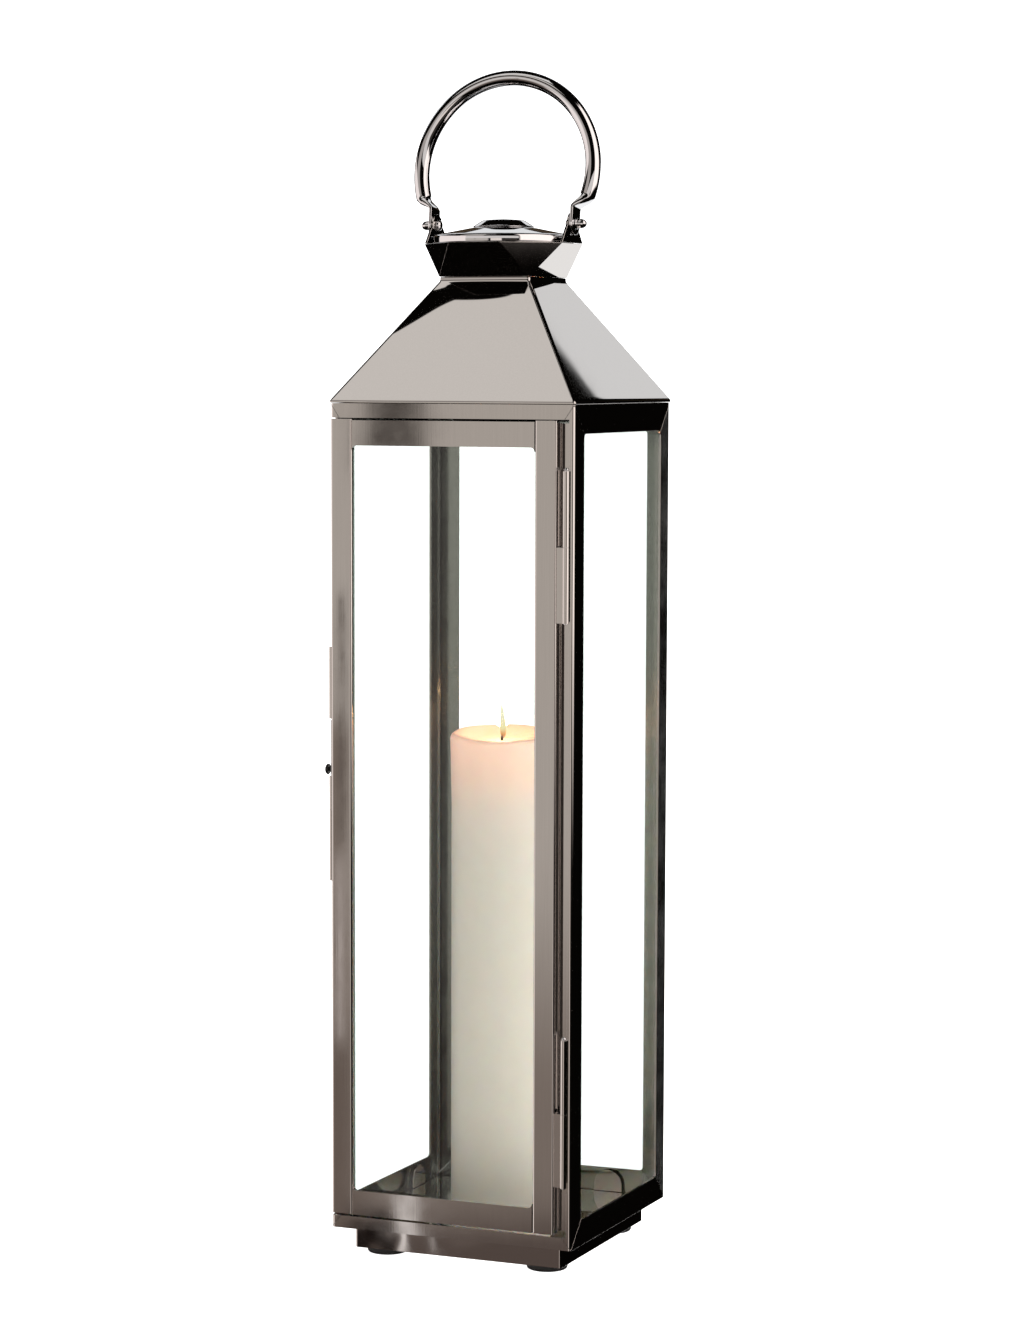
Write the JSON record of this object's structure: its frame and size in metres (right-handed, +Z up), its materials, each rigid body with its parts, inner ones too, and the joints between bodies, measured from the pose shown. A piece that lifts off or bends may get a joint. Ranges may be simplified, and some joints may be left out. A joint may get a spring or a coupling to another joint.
{
  "type": "candle lantern",
  "caption": "Tall square polished-steel candle lantern with glass sides, a hinged glass door with a barrel bolt, a pyramid roof, a ring handle and a pillar candle.",
  "frame": {"origin": "on the ground, under the middle of the square body", "axes": "+Z up, -Y towards the door, +X towards the door's hinges"},
  "size_m": [0.2295, 0.2243, 1.0042],
  "materials": {
    "polished_steel": "mirror polished",
    "chrome": "mirror polished",
    "dark_steel": "gloss black",
    "glass": "clear float glass",
    "sealant": "semi-clear silicone",
    "rubber": "satin",
    "wax": "smooth ivory wax",
    "cotton": "charred cotton cord"
  },
  "bodies": {
    "lantern": {"plinth": "polished_steel", "floor_plate": "polished_steel", "glass_clip_back_left": "polished_steel", "glass_clip_back_right": "polished_steel", "glass_clip_left_front": "polished_steel", "glass_clip_left_back": "polished_steel", "glass_clip_right_front": "polished_steel", "glass_clip_right_back": "polished_steel", "post_front_left": "polished_steel", "post_front_right": "polished_steel", "post_back_left": "polished_steel", "post_back_right": "polished_steel", "left_top_rail": "polished_steel", "left_bottom_rail": "polished_steel", "right_top_rail": "polished_steel", "right_bottom_rail": "polished_steel", "back_top_rail": "polished_steel", "back_bottom_rail": "polished_steel", "front_top_band": "polished_steel", "front_bottom_band": "polished_steel", "roof": "polished_steel", "collar": "polished_steel", "handle_lug_left": "polished_steel", "handle_lug_right": "polished_steel", "hinge_lower_post_leaf": "polished_steel", "hinge_upper_post_leaf": "polished_steel", "latch_keeper": "polished_steel", "foot_front_left": "rubber", "foot_front_right": "rubber", "foot_back_left": "rubber", "foot_back_right": "rubber", "glass_left": "glass", "glass_right": "glass", "glass_back": "glass", "lid": "chrome", "lid_button": "chrome", "pivot_screw_left": "chrome", "pivot_screw_right": "chrome", "acorn_nut_left": "chrome", "acorn_nut_right": "chrome", "hinge_lower_pin": "chrome", "hinge_upper_pin": "chrome"},
    "door": {"door_stile_latch": "polished_steel", "door_stile_hinge": "polished_steel", "door_rail_bottom": "polished_steel", "door_rail_top": "polished_steel", "door_glass": "glass", "door_glass_bead": "sealant", "hinge_lower_door_leaf": "polished_steel", "hinge_upper_door_leaf": "polished_steel", "latch_guide": "polished_steel", "latch_barrel": "polished_steel"},
    "bolt": {"latch_bolt": "chrome", "latch_knob": "dark_steel"},
    "handle": {"handle_ring": "chrome"},
    "candle": {"candle": "wax", "wick": "cotton"}
  },
  "joints": [
    {"name": "door_hinge", "type": "hinge", "parent": "lantern", "child": "door", "pos_m": [0.1032, -0.1105, 0.3755], "axis": [0, 0, 1], "range_deg": [0, 170]},
    {"name": "bolt_slide", "type": "slide", "parent": "door", "child": "bolt", "axis": [0, 0, 1], "range_m": [0, 0.036]},
    {"name": "handle_pivot", "type": "hinge", "parent": "lantern", "child": "handle", "pos_m": [0, 0, 0.8754], "axis": [1, 0, 0], "range_deg": [-126, 142]},
    {"name": "candle_lift", "type": "slide", "parent": "lantern", "child": "candle", "axis": [0, 0, 1], "range_m": [0, 0.15]}
  ]
}
